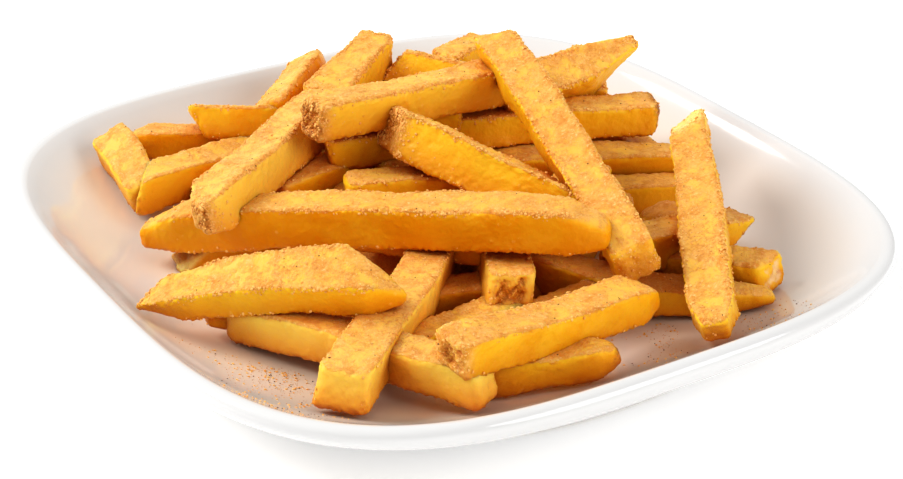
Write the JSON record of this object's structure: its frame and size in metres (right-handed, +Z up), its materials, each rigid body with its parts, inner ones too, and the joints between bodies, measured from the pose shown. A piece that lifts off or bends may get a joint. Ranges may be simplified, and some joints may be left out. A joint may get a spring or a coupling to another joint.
{
  "type": "portion of french fries on a plate",
  "caption": "Thick-cut french fries heaped on a rounded square white side plate with a low rim and a foot ring.",
  "frame": {"origin": "middle of the plate's foot ring, on the surface the plate stands on", "axes": "+Z up; +X and +Y square to the plate's sides, with the near corner of the plate towards -X -Y"},
  "size_m": [0.2, 0.2, 0.0555],
  "materials": {
    "glaze": "glossy white glaze",
    "fries": "crisp golden fried potato with fine spice"
  },
  "bodies": {
    "root": {"plate": "glaze", "fries_heap": "fries"}
  },
  "joints": []
}
